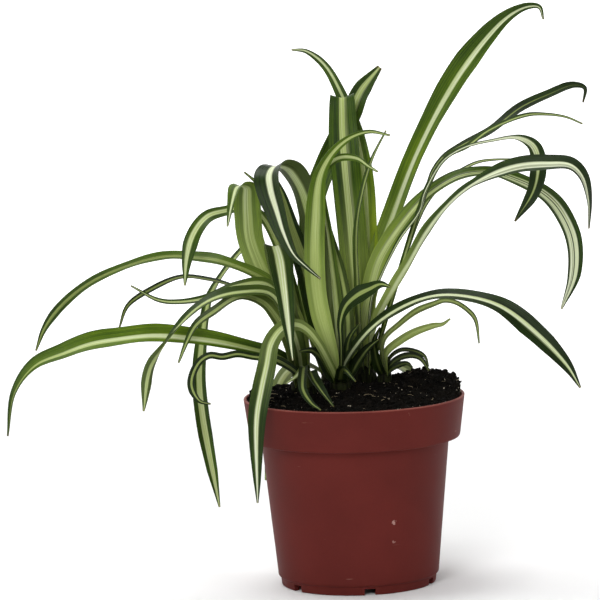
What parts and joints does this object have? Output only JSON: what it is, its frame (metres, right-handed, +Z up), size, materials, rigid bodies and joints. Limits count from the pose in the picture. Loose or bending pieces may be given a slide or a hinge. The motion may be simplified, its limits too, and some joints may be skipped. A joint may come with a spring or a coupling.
{
  "type": "potted spider plant",
  "caption": "Potted spider plant: striped arching leaves in several shoots, set in soil in a round plastic nursery pot with a wide collar.",
  "frame": {"origin": "centre of the pot's foot, on the surface the pot stands on", "axes": "+Z up along the pot's axis, +X to the right and -Y towards the front, where the low leaf hangs over the rim"},
  "size_m": [0.317, 0.2007, 0.3088],
  "materials": {
    "pot": "satin",
    "soil": "rough",
    "leaf": "satin"
  },
  "bodies": {
    "root": {"pot": "pot", "soil": "soil", "shoot_centre": "leaf", "shoot_left": "leaf", "shoot_right": "leaf", "shoot_small_right": "leaf", "shoot_small_front": "leaf", "shoot_back": "leaf"}
  },
  "joints": []
}
